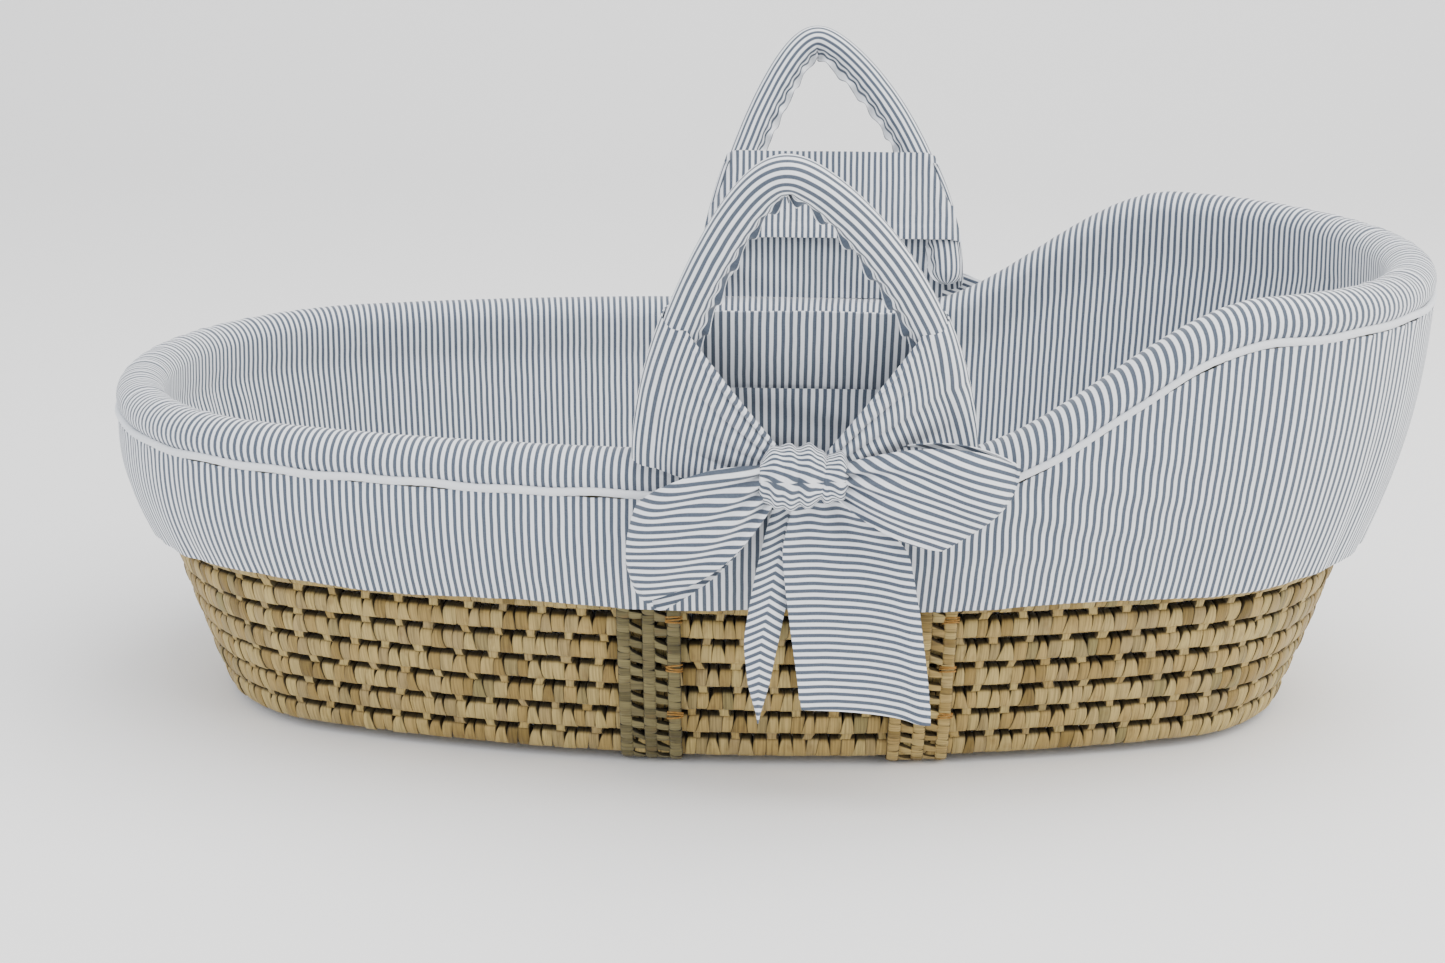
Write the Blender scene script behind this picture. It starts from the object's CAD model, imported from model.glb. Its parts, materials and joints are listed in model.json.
import json
import math

import bmesh
import bpy
import numpy as np
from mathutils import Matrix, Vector


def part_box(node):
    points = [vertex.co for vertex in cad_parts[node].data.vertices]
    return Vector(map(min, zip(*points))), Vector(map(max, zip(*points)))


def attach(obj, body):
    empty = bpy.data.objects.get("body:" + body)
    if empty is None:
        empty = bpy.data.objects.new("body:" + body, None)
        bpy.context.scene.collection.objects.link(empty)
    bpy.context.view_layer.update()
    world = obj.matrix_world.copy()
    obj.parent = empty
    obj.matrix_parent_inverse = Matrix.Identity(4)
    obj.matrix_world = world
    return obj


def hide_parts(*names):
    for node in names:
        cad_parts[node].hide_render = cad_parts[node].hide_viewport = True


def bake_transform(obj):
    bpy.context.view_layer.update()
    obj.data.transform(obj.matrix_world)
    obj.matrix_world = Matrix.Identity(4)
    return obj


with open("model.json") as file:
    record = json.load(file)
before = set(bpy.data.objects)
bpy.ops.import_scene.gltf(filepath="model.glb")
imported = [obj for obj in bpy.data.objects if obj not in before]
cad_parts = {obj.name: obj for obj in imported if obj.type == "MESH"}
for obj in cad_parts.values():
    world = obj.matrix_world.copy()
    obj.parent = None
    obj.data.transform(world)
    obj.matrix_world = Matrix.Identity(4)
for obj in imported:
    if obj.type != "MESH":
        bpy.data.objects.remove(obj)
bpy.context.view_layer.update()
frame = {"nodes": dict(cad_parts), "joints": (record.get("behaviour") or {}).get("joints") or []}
print("frame loaded")

# ---- the shape that every row, seam and layer follows ----

# A four-centred oval; every layer is an offset of it
oval = {"endCentre": 0.238, "endRadius": 0.126, "sideCentre": 0.816, "sideRadius": 0.976}
wall = {"tuck": 0.012, "lean": 0.00605, "ease": 0.00012, "thickness": 0.010, "bulge": 0.002, "fullRows": 11}
rim = {"riseStart": 0.112, "riseLength": 0.180, "gap": 0.0005, "arch": (0.015, 0.013), "archRise": 0.005,
       "pipingOut": 0.0144, "pipingDrop": 0.0036, "pipingRadius": 0.0024}

joinAngle = math.atan2(oval["sideCentre"], oval["endCentre"])
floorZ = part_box("wall_row_01")[0].z
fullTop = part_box("wall_row_11")[1].z
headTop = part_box("head_row_16")[1].z
rowHeight = (fullTop - floorZ) / wall["fullRows"]
baseLow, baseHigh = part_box("base_mat")
centreX = (baseLow.x + baseHigh.x) / 2
fullTurn = 2 * math.pi


def smooth(t):
    t = np.clip(t, 0, 1)
    return t * t * (3 - 2 * t)


def leanAt(z):
    row = (z - floorZ) / rowHeight
    return -wall["tuck"] + wall["lean"] * row - wall["ease"] * row * row


def slopeAt(z):
    row = (z - floorZ) / rowHeight
    return np.arctan((wall["lean"] - 2 * wall["ease"] * row) / rowHeight)


def ovalPoint(angle, offset):
    # x and y of the point whose outward normal points at the angle
    c, s = np.cos(angle), np.sin(angle)
    onEnd = np.abs(c) > math.cos(joinAngle)
    x = np.where(onEnd, np.sign(c) * oval["endCentre"] + (oval["endRadius"] + offset) * c,
                 (oval["sideRadius"] + offset) * c)
    y = np.where(onEnd, (oval["endRadius"] + offset) * s,
                 (oval["sideRadius"] + offset) * s - np.sign(s) * oval["sideCentre"])
    return x + centreX, y


tableAngles = np.linspace(0, fullTurn, 2881)


def walkLengths(offset):
    # distance walked round the offset oval at each angle of the table
    x, y = ovalPoint(tableAngles, offset)
    return np.concatenate([[0], np.cumsum(np.hypot(np.diff(x), np.diff(y)))])


def rimUnder(x):
    # underside of the rim braid at a place along the basket
    rise = smooth((x - centreX - rim["riseStart"]) / rim["riseLength"])
    return fullTop + rim["gap"] + (headTop - fullTop) * rise


rimOffset = leanAt(fullTop) - wall["thickness"] / 2
rimWalk = walkLengths(rimOffset)
rimLength = rimWalk[-1]


def rimAngle(share):
    return np.interp(share * rimLength, rimWalk, tableAngles)


def stationRim(angle):
    return rimUnder(ovalPoint(angle, rimOffset)[0])


def rimMiddle(z):
    return leanAt(z - rim["gap"]) - wall["thickness"] / 2


# ---- small helpers ----

def deselect():
    if bpy.context.object and bpy.context.object.mode != "OBJECT":
        bpy.ops.object.mode_set(mode="OBJECT")
    bpy.ops.object.select_all(action="DESELECT")


def activate(piece):
    deselect()
    piece.select_set(True)
    bpy.context.view_layer.objects.active = piece


def applyModifier(piece, name, kind, **settings):
    activate(piece)
    modifier = piece.modifiers.new(name, kind)
    for key, value in settings.items():
        setattr(modifier, key, value)
    bpy.ops.object.modifier_apply(modifier=name)


def mendNormals(piece, distance=0.00002):
    activate(piece)
    bpy.ops.object.mode_set(mode="EDIT")
    bpy.ops.mesh.select_all(action="SELECT")
    bpy.ops.mesh.remove_doubles(threshold=distance)
    bpy.ops.mesh.normals_make_consistent(inside=False)
    bpy.ops.object.mode_set(mode="OBJECT")


def shadeSmooth(piece, angle=None):
    activate(piece)
    if angle is None:
        bpy.ops.object.shade_smooth()
    else:
        bpy.ops.object.shade_smooth_by_angle(angle=math.radians(angle))


def setUv(mesh, uv):
    layer = mesh.uv_layers.active or mesh.uv_layers.new(name="UVMap")
    corner = np.empty(len(mesh.loops), np.int32)
    mesh.loops.foreach_get("vertex_index", corner)
    layer.data.foreach_set("uv", uv[corner].astype(np.float32).ravel())


def clothGrid(name, across, along, place, thickness=0.0, closed=False):
    # a grid whose points are placed by place(a, b), with a UV map in metres of cloth
    deselect()
    bpy.ops.mesh.primitive_grid_add(x_subdivisions=across, y_subdivisions=along, size=1)
    piece = bpy.context.object
    piece.name = name
    mesh = piece.data
    co = np.empty(len(mesh.vertices) * 3, np.float32)
    mesh.vertices.foreach_get("co", co)
    co = co.reshape(-1, 3).astype(float)
    points, uv = place(co[:, 0] + 0.5, co[:, 1] + 0.5)
    mesh.vertices.foreach_set("co", points.astype(np.float32).ravel())
    setUv(mesh, uv)
    mesh.update()
    if closed or thickness:
        mendNormals(piece)
    if thickness:
        applyModifier(piece, "thickness", "SOLIDIFY", thickness=thickness, offset=0.0)
    shadeSmooth(piece, 50)
    return piece


def columns(*parts):
    return np.stack(np.broadcast_arrays(*parts), axis=-1)


# ---- materials ----

def linearColour(code):
    # sRGB hex to linear
    parts = [int(code[i:i + 2], 16) / 255 for i in (1, 3, 5)]
    return [c / 12.92 if c <= 0.04045 else ((c + 0.055) / 1.055) ** 2.4 for c in parts] + [1]


def newMaterial(name, roughness, **sockets):
    material = bpy.data.materials.new(name)
    material.use_nodes = True
    shader = material.node_tree.nodes["Principled BSDF"]
    shader.inputs["Roughness"].default_value = roughness
    for key, value in sockets.items():
        shader.inputs[key.replace("_", " ")].default_value = value
    return material, shader


def addNode(material, kind, inputs=(), **settings):
    # adds a node; inputs is a list of (socket, value or linked output)
    node = material.node_tree.nodes.new(kind)
    for key, value in settings.items():
        setattr(node, key, value)
    for key, value in inputs:
        if isinstance(value, bpy.types.NodeSocket):
            material.node_tree.links.new(value, node.inputs[key])
        else:
            node.inputs[key].default_value = value
    return node


def mathNode(material, operation, first, second=0.0):
    return addNode(material, "ShaderNodeMath", [(0, first), (1, second)], operation=operation).outputs[0]


def mixColour(material, share, first, second, blend="MIX"):
    node = addNode(material, "ShaderNodeMix", [(0, share)], data_type="RGBA", blend_type=blend)
    for socket, value in ((node.inputs[6], first), (node.inputs[7], second)):
        if isinstance(value, bpy.types.NodeSocket):
            material.node_tree.links.new(value, socket)
        else:
            socket.default_value = value
    return node.outputs[2]


def link(material, output, socket):
    material.node_tree.links.new(output, socket)


# Woven cotton ticking: printed-looking stripes with soft edges, a fine thread
# grain (threads drawn 0.6 mm apart so that they show) and a slight sheen
cotton = {"blue": "#414A58", "white": "#E2E6EC", "period": 0.00435, "blueShare": 0.49, "edge": 0.1,
          "thread": 0.0006}


def cottonMaterial(name, coordinate="uv", turn=0.0):
    material, shader = newMaterial(name, 0.86, Sheen_Weight=0.25, Sheen_Roughness=0.5,
                                   Specular_IOR_Level=0.25)
    if coordinate == "uv":
        source = addNode(material, "ShaderNodeUVMap", uv_map="UVMap").outputs["UV"]
    else:
        source = addNode(material, "ShaderNodeTexCoord").outputs["Object"]
    place = addNode(material, "ShaderNodeMapping", [("Vector", source), ("Rotation", (0, turn, turn))])
    split = addNode(material, "ShaderNodeSeparateXYZ", [(0, place.outputs[0])])
    wander = addNode(material, "ShaderNodeTexNoise", [("Vector", source), ("Scale", 60.0), ("Detail", 1.0)])
    drift = mathNode(material, "MULTIPLY", mathNode(material, "SUBTRACT", wander.outputs["Fac"], 0.5), 0.0006)
    line = mathNode(material, "DIVIDE", mathNode(material, "ADD", split.outputs[0], drift), cotton["period"])
    wave = mathNode(material, "PINGPONG", line, 0.5)
    edge = cotton["edge"] / 2
    middle = cotton["blueShare"] / 2
    stripe = addNode(material, "ShaderNodeMapRange",
                     [(0, wave), (1, middle - edge), (2, middle + edge), (3, 1.0), (4, 0.0)],
                     interpolation_type="SMOOTHSTEP")
    cloudy = addNode(material, "ShaderNodeTexNoise", [("Vector", source), ("Scale", 900.0), ("Detail", 2.0)])
    blue = mixColour(material, cloudy.outputs["Fac"], linearColour(cotton["blue"]), linearColour("#5A6472"))
    white = mixColour(material, cloudy.outputs["Fac"], linearColour(cotton["white"]), linearColour("#F2F4F7"))
    colour = mixColour(material, stripe.outputs[0], white, blue)
    link(material, colour, shader.inputs["Base Color"])
    threads = []
    for axis in (0, 1):
        turns = mathNode(material, "MULTIPLY", split.outputs[axis], fullTurn / cotton["thread"])
        threads.append(mathNode(material, "SINE", turns))
    weave = mathNode(material, "MULTIPLY", threads[0], threads[1])
    crease = addNode(material, "ShaderNodeTexNoise", [("Vector", source), ("Scale", 38.0), ("Detail", 3.0)])
    height = mathNode(material, "ADD", mathNode(material, "MULTIPLY", weave, 0.00004),
                      mathNode(material, "MULTIPLY", crease.outputs["Fac"], 0.0016))
    bump = addNode(material, "ShaderNodeBump", [("Height", height), ("Strength", 0.55), ("Distance", 1.0)])
    link(material, bump.outputs[0], shader.inputs["Normal"])
    return material


# Plain woven cotton: the same grain with no stripe
def plainCloth(name, colour, shade, grain=0.0007, roughness=0.88):
    material, shader = newMaterial(name, roughness, Sheen_Weight=0.2, Specular_IOR_Level=0.25)
    source = addNode(material, "ShaderNodeTexCoord").outputs["Object"]
    noise = addNode(material, "ShaderNodeTexNoise", [("Vector", source), ("Scale", 45.0), ("Detail", 4.0)])
    link(material, mixColour(material, noise.outputs["Fac"], linearColour(colour), linearColour(shade)),
         shader.inputs["Base Color"])
    cells = addNode(material, "ShaderNodeTexVoronoi", [("Vector", source), ("Scale", 1 / grain)])
    bump = addNode(material, "ShaderNodeBump",
                   [("Height", cells.outputs["Distance"]), ("Strength", 0.3), ("Distance", 0.0003)])
    link(material, bump.outputs[0], shader.inputs["Normal"])
    return material


# Dried palm leaf: matt straw tones, lengthwise creases every millimetre or so,
# darker where the leaf is thin; each strip has its own tone
leaf = {"tones": ["#80692F", "#A88B49", "#C9AB66", "#D6BC76", "#BCA26A", "#9C8E55"], "crease": 0.0011}


def leafMaterial(name, tones, attribute="leafTone"):
    material, shader = newMaterial(name, 0.62, Specular_IOR_Level=0.35, Sheen_Weight=0.05)
    source = addNode(material, "ShaderNodeUVMap", uv_map="UVMap").outputs["UV"]
    tone = addNode(material, "ShaderNodeAttribute", attribute_name=attribute).outputs["Fac"]
    ramp = addNode(material, "ShaderNodeValToRGB", [(0, tone)])
    stops = ramp.color_ramp.elements
    stops[0].color = linearColour(tones[0])
    stops[1].color = linearColour(tones[-1])
    for i, code in enumerate(tones[1:-1], 1):
        stops.new(i / (len(tones) - 1)).color = linearColour(code)
    stretch = addNode(material, "ShaderNodeMapping",
                      [("Vector", source), ("Scale", (1 / leaf["crease"], 55.0, 1.0))])
    streak = addNode(material, "ShaderNodeTexNoise",
                     [("Vector", stretch.outputs[0]), ("Scale", 1.0), ("Detail", 3.0)])
    lines = addNode(material, "ShaderNodeMapRange",
                    [(0, streak.outputs["Fac"]), (1, 0.32), (2, 0.6), (3, 0.62), (4, 1.08)])
    spots = addNode(material, "ShaderNodeTexNoise", [("Vector", source), ("Scale", 130.0), ("Detail", 2.0)])
    stain = addNode(material, "ShaderNodeMapRange",
                    [(0, spots.outputs["Fac"]), (1, 0.58), (2, 0.74), (3, 0.0), (4, 0.45)])
    stained = mixColour(material, stain.outputs[0], ramp.outputs[0], linearColour("#8A6A38"))
    creased = addNode(material, "ShaderNodeAttribute", attribute_name="leafShade").outputs["Fac"]
    inCrease = addNode(material, "ShaderNodeMapRange",
                       [(0, creased), (1, 0.25), (2, 1.0), (3, 1.0), (4, 0.12)])
    light = mathNode(material, "MULTIPLY", lines.outputs[0], inCrease.outputs[0])
    shaded = addNode(material, "ShaderNodeVectorMath", [(0, stained), ("Scale", light)], operation="SCALE")
    link(material, shaded.outputs[0], shader.inputs["Base Color"])
    bump = addNode(material, "ShaderNodeBump",
                   [("Height", streak.outputs["Fac"]), ("Strength", 0.6), ("Distance", 0.0006)])
    link(material, bump.outputs[0], shader.inputs["Normal"])
    return material


stripedCotton = cottonMaterial("stripedCottonTicking")
palmLeaf = leafMaterial("driedPalmLeaf", leaf["tones"])
greenPalmLeaf = leafMaterial("greenishPalmLeaf", ["#544A26", "#6C6238", "#81754A", "#948858", "#7A6F44"])
twineFibre = leafMaterial("palmFibreTwine", ["#7A5218", "#A3742C", "#B88C44"])
whitePiping = plainCloth("whiteCottonPiping", "#E9ECEF", "#DDE1E6")
whiteJersey = plainCloth("whiteCottonJersey", "#ECECEA", "#DEDEDC", 0.0009)
whiteWadding = plainCloth("polyesterWadding", "#EDEDED", "#E0E0E0", 0.002)
print("materials made")


def finish(piece, body, material, slot, *replaced):
    piece.data.materials.clear()
    piece.data.materials.append(material)
    if body:
        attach(piece, body)
    if replaced:
        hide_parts(*replaced)
    return piece


# ---- camera, light and floor ----

view = {"place": (0.0088, -1.439, 0.597), "down": 0.309, "roll": -0.008, "turn": 0.0277, "lens": 56.63}
camera = bpy.data.objects.new("camera", bpy.data.cameras.new("camera"))
bpy.context.scene.collection.objects.link(camera)
camera.location = view["place"]
camera.rotation_euler = (math.pi / 2 - view["down"], view["roll"], view["turn"])
camera.data.lens = view["lens"]
camera.data.sensor_width = 36
bpy.context.scene.camera = camera

studio = {"ground": "#FCFCFB", "wallAt": 1.9, "bend": 0.9}


def studioSweep():
    # a pale sheet that turns up behind the basket in a wide curve
    def place(a, b):
        x = (a - 0.5) * 9
        run = b * 7.5 - 3.6
        flat = np.minimum(run, studio["wallAt"])
        angle = np.clip((run - studio["wallAt"]) / studio["bend"], 0, math.pi / 2)
        rise = np.maximum(run - studio["wallAt"] - studio["bend"] * math.pi / 2, 0)
        y = flat + studio["bend"] * np.sin(angle)
        z = studio["bend"] * (1 - np.cos(angle)) + rise
        return columns(x, y, z), columns(a, b)

    sweep = clothGrid("studioSweep", 8, 90, place)
    material, shader = newMaterial("palePaper", 0.9, Specular_IOR_Level=0.1)
    shader.inputs["Base Color"].default_value = linearColour(studio["ground"])
    sweep.data.materials.append(material)


studioSweep()


def areaLight(name, place, target, size, power, colour="#FFFFFF"):
    lamp = bpy.data.lights.new(name, "AREA")
    lamp.shape = "RECTANGLE"
    lamp.size, lamp.size_y = size
    lamp.energy = power
    lamp.color = linearColour(colour)[:3]
    holder = bpy.data.objects.new(name, lamp)
    bpy.context.scene.collection.objects.link(holder)
    holder.location = place
    holder.rotation_euler = (Vector(target) - Vector(place)).to_track_quat("-Z", "Y").to_euler()


areaLight("softboxAbove", (0.5, -0.2, 2.3), (0, 0, 0.1), (2.6, 2.0), 52, "#FFFDFA")
areaLight("softboxLeft", (-2.0, -1.3, 1.4), (0, 0, 0.2), (1.6, 1.6), 20, "#F4F6FF")
areaLight("softboxRight", (2.1, -1.0, 1.6), (0, 0, 0.2), (1.6, 1.8), 36, "#FFFAF4")
world = bpy.data.worlds.new("studio")
bpy.context.scene.world = world
world.use_nodes = True
world.node_tree.nodes["Background"].inputs[0].default_value = linearColour("#F4F5F8")
world.node_tree.nodes["Background"].inputs[1].default_value = 1.25
print("camera, light and floor placed")

# ---- woven palm ----

wrap = {"sides": 14, "pitch": 0.0073, "halfDepth": 0.0050, "gap": 0.0042, "squareness": 0.62,
        "stitchPitch": 0.0205}
rng = np.random.default_rng(11)


def makeWrap():
    # one wrap of leaf round the coil: a short drum along X with softened ends
    deselect()
    bpy.ops.mesh.primitive_cylinder_add(vertices=wrap["sides"], radius=1, depth=0.84, end_fill_type="NGON",
                                        rotation=(0, math.pi / 2, 0))
    bpy.ops.object.transform_apply(location=False, rotation=True, scale=False)
    drum = bpy.context.object
    bpy.ops.object.mode_set(mode="EDIT")
    bpy.ops.mesh.select_mode(type="FACE")
    bpy.ops.mesh.select_all(action="DESELECT")
    shape = bmesh.from_edit_mesh(drum.data)
    for face in shape.faces:
        face.select = abs(face.normal.x) > 0.9
    bmesh.update_edit_mesh(drum.data)
    bpy.ops.mesh.inset(thickness=0.1, depth=0.08, use_individual=True)
    bpy.ops.object.mode_set(mode="OBJECT")
    points = np.array([v.co for v in drum.data.vertices])
    faces = [list(f.vertices) for f in drum.data.polygons]
    bpy.data.objects.remove(drum)
    return points, faces


wrapPoints, wrapFaces = makeWrap()


def stampWraps(name, points, around, tone):
    # joins many wraps into one mesh: points is (wraps, wrap's own points, 3)
    count, size = points.shape[:2]
    faces = [[v + i * size for v in face] for i in range(count) for face in wrapFaces]
    mesh = bpy.data.meshes.new(name)
    mesh.from_pydata(points.reshape(-1, 3).tolist(), [], faces)
    piece = bpy.data.objects.new(name, mesh)
    bpy.context.scene.collection.objects.link(piece)
    setUv(mesh, around.reshape(-1, 2))
    layer = mesh.attributes.new("leafTone", "FLOAT", "POINT")
    layer.data.foreach_set("value", np.repeat(tone, size).astype(np.float32))
    shade = np.clip((np.maximum(np.abs(wrapPoints[:, 2]), np.abs(wrapPoints[:, 0]) * 2) - 0.7) / 0.25, 0, 1)
    layer = mesh.attributes.new("leafShade", "FLOAT", "POINT")
    layer.data.foreach_set("value", np.tile(shade, count).astype(np.float32))
    shadeSmooth(piece, 62)
    return piece


def shapeWraps(count, width, tall, deep, tilt, flare, pinch, rise):
    # the wraps' own points: along the coil, up its face, out from it
    along = np.broadcast_to(wrapPoints[:, 0], (count, len(wrapPoints)))
    up = wrapPoints[:, 2]
    out = wrapPoints[:, 1]
    power = wrap["squareness"]
    upSquare = np.sign(up) * np.abs(up) ** power
    outSquare = np.sign(out) * np.abs(out) ** power
    widen = 1 + flare[:, None] * np.maximum(-up, 0) - pinch[:, None] * np.maximum(up, 0)
    alongPart = along * width[:, None] * widen + tilt[:, None] * up * tall[:, None]
    upPart = upSquare * tall[:, None] + rise[:, None]
    outPart = outSquare * deep[:, None] * (1 - 0.05 * np.abs(2 * along) ** 3)
    turn = np.arctan2(up, out)
    return alongPart, upPart, outPart, turn


def leafMap(alongPart, turn, deep):
    shift = rng.uniform(0, 1, (len(alongPart), 1))
    return columns(alongPart + shift, turn * deep + shift)


def leafTones(count, low=0.0, high=1.0):
    tone = rng.beta(2.2, 1.8, count)
    return low + (high - low) * tone


def rowPoints(z, offset, start, alongPart, upPart, outPart, walk):
    # carries wraps round the oval at a height, tilted with the wall
    angle = np.interp((start[:, None] + alongPart) % walk[-1], walk, tableAngles)
    slope = slopeAt(z)
    outward = offset + outPart * math.cos(slope) + upPart * math.sin(slope)
    height = z + upPart * math.cos(slope) - outPart * math.sin(slope)
    x, y = ovalPoint(angle, outward)
    return columns(x, y, height)


def weaveRow(row):
    # one turn of the coil, with a fan of leaf at each stitch
    z = floorZ + (row - 0.5) * rowHeight
    offset = leanAt(z) + wall["bulge"] - wrap["halfDepth"] - 0.0006
    walk = walkLengths(offset)
    length = walk[-1]
    count = int(round(length / wrap["pitch"]))
    width = rng.uniform(0.8, 1.2, count)
    width *= length / width.sum()
    start = np.cumsum(width) - width / 2
    slopeLength = rowHeight / math.cos(slopeAt(z))
    place = np.interp(start, walk, tableAngles)
    endness = smooth((np.abs(np.cos(place)) - 0.25) / 0.45)
    tall = (slopeLength - wrap["gap"] * (1 - 0.62 * endness) + rng.uniform(-0.0007, 0.0005, count)) / 2
    perFan = int(round(wrap["stitchPitch"] / wrap["pitch"]))
    fan = (np.arange(count) + row) % perFan == 0
    tilt = rng.normal(0.04, 0.07, count)
    flare = np.where(fan, rng.uniform(0.25, 0.6, count), rng.uniform(-0.12, 0.18, count))
    pinch = np.where(fan, rng.uniform(0.35, 0.6, count), rng.uniform(-0.08, 0.12, count))
    deep = np.where(fan, wrap["halfDepth"] + 0.0005, wrap["halfDepth"]) + rng.uniform(-0.0003, 0.0004, count)
    parts = shapeWraps(count, width * 1.04, tall, deep, tilt, flare, pinch, np.zeros(count))
    points = rowPoints(z, offset, start, *parts[:3], walk)
    piece = stampWraps(f"wovenRow{row:02d}", points, leafMap(parts[0], parts[3], wrap["halfDepth"]),
                       leafTones(count))
    return piece, start[fan]


rowStitches = {}
for row in range(1, 9):
    woven, fans = weaveRow(row)
    rowStitches[row] = fans
    finish(woven, "basket", palmLeaf, "palm_leaf", f"wall_row_{row:02d}")
print("rows woven")


# Stitches: where a fan of leaf passes through the row below, pinched in the groove
stitch = {"halfWidth": 0.0030, "halfTall": 0.0040, "halfDepth": 0.0042, "inset": 0.0058}


def stitchRows():
    points, around, tones = [], [], []
    for row in range(1, 8):
        z = floorZ + row * rowHeight
        offset = leanAt(z) - stitch["inset"] + wall["bulge"] * 0.5
        walk = walkLengths(offset)
        start = rowStitches[row] * walk[-1] / walkLengths(leanAt(z))[-1]
        start = start + rng.uniform(-0.001, 0.001, len(start))
        count = len(start)
        width = rng.uniform(0.85, 1.25, count) * stitch["halfWidth"] * 1.7
        parts = shapeWraps(count, width, np.full(count, stitch["halfTall"]),
                           np.full(count, stitch["halfDepth"]),
                           rng.normal(0, 0.25, count), rng.uniform(0.1, 0.5, count),
                           rng.uniform(-0.5, -0.1, count),
                           np.zeros(count))
        points.append(rowPoints(z, offset, start, *parts[:3], walk))
        around.append(leafMap(parts[0], parts[3], stitch["halfDepth"]))
        tones.append(leafTones(count, 0.2, 0.9))
    piece = stampWraps("rowStitches", np.concatenate(points), np.concatenate(around), np.concatenate(tones))
    finish(piece, "basket", palmLeaf, "green_palm_leaf", "row_binding")


stitchRows()


def coilPoints(line, side, start, alongPart, upPart, outPart):
    # carries wraps along a drawn line; side is its unit vectors across, out comes from line and side
    steps = np.concatenate([[0], np.cumsum(np.linalg.norm(np.diff(line, axis=0), axis=1))])
    heading = np.gradient(line, axis=0)
    heading /= np.linalg.norm(heading, axis=1)[:, None]
    outward = np.cross(heading, side)
    where = np.clip(start[:, None] + alongPart, 0, steps[-1])
    pick = lambda values: columns(*[np.interp(where, steps, values[:, i]) for i in range(3)])
    return pick(line) + pick(side) * upPart[..., None] + pick(outward) * outPart[..., None]


def wrapLine(line, side, pitch, halfWide, halfDeep, spread=0.15):
    # wraps set one after another along a line
    length = np.linalg.norm(np.diff(line, axis=0), axis=1).sum()
    count = max(2, int(round(length / pitch)))
    width = rng.uniform(1 - spread, 1 + spread, count)
    width *= length / width.sum()
    start = np.cumsum(width) - width / 2
    parts = shapeWraps(count, width * 1.05, halfWide * rng.uniform(0.94, 1.06, count),
                       halfDeep * rng.uniform(0.92, 1.06, count), rng.normal(0.1, 0.12, count),
                       rng.uniform(-0.1, 0.15, count), rng.uniform(-0.1, 0.15, count), np.zeros(count))
    points = coilPoints(line, side, start, *parts[:3])
    return points, leafMap(parts[0], parts[3], halfDeep), count


# The base: rings of the same coil, closed by straight runs along the middle
base = {"pitch": 0.0142, "halfDeep": 0.0038, "rings": 6, "wrapPitch": 0.0085}


def weaveBase():
    points, around, tones = [], [], []
    z = (baseLow.z + baseHigh.z) / 2
    edge = -wall["tuck"] - wall["thickness"] - base["pitch"] / 2
    lines = []
    for ring in range(base["rings"]):
        x, y = ovalPoint(tableAngles, edge - ring * base["pitch"])
        lines.append(columns(x, y, np.full_like(x, z)))
    inner = edge - (base["rings"] - 0.5) * base["pitch"]
    for y in (-base["pitch"], 0, base["pitch"]):
        reach = oval["endCentre"] - abs(y) * 4 + (oval["endRadius"] + inner) - 0.004
        lines.append(columns(np.linspace(-reach, reach, 80) + centreX, np.full(80, y), np.full(80, z)))
    for line in lines:
        heading = np.gradient(line, axis=0)
        heading /= np.linalg.norm(heading, axis=1)[:, None]
        side = np.cross(heading, (0, 0, 1))
        stretch = wrapLine(line, side, base["wrapPitch"], base["pitch"] / 2 - 0.0004, base["halfDeep"])
        points.append(stretch[0])
        around.append(stretch[1])
        tones.append(leafTones(stretch[2], 0.1, 0.9))
    piece = stampWraps("wovenBase", np.concatenate(points), np.concatenate(around), np.concatenate(tones))
    finish(piece, "basket", palmLeaf, "palm_leaf", "base_mat")


weaveBase()

# Straps: three wrapped cords side by side, under the base and up both walls
straps = {"centre": 0.016, "halfSpan": 0.082, "pitch": 0.015, "width": 0.0080, "thickness": 0.0050,
          "gap": 0.0016, "wrapPitch": 0.0062, "top": 0.0140}


def strapLine(x):
    # middle line of a cord at a place along the basket: one side's foot, the bottom, the other side
    inner = wall["bulge"] + straps["gap"] + straps["thickness"] / 2
    z = np.linspace(floorZ + 0.5 * rowHeight, fullTop - straps["top"], 40)
    local = x - centreX
    reach = lambda offset: np.sqrt((oval["sideRadius"] + offset) ** 2 - local ** 2) - oval["sideCentre"]
    up = columns(np.full(40, x), -reach(leanAt(z) + inner), z)
    low = straps["thickness"] / 2
    turnRadius = 0.012
    corner = -reach(leanAt(floorZ) + inner) + 0.002
    bend = np.linspace(0, math.pi / 2, 10)
    foot = columns(np.full(10, x), corner + turnRadius * (1 - np.sin(bend)), low + turnRadius
                   * (1 - np.cos(bend)))
    flat = columns(np.full(60, x), np.linspace(0, corner + turnRadius + 0.002, 60), np.full(60, low))
    half = np.concatenate([flat[:-1], foot, up[3:]])
    other = half * (1, -1, 1)
    return np.concatenate([half[::-1], other[1:]])


def smoothLine(line, step):
    # evenly spaced points on a softened copy of the line
    for _ in range(3):
        line = np.concatenate([line[:1], (line[:-2] + 2 * line[1:-1] + line[2:]) / 4, line[-1:]])
    steps = np.concatenate([[0], np.cumsum(np.linalg.norm(np.diff(line, axis=0), axis=1))])
    even = np.linspace(0, steps[-1], int(steps[-1] / step) + 2)
    return columns(*[np.interp(even, steps, line[:, i]) for i in range(3)])


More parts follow.
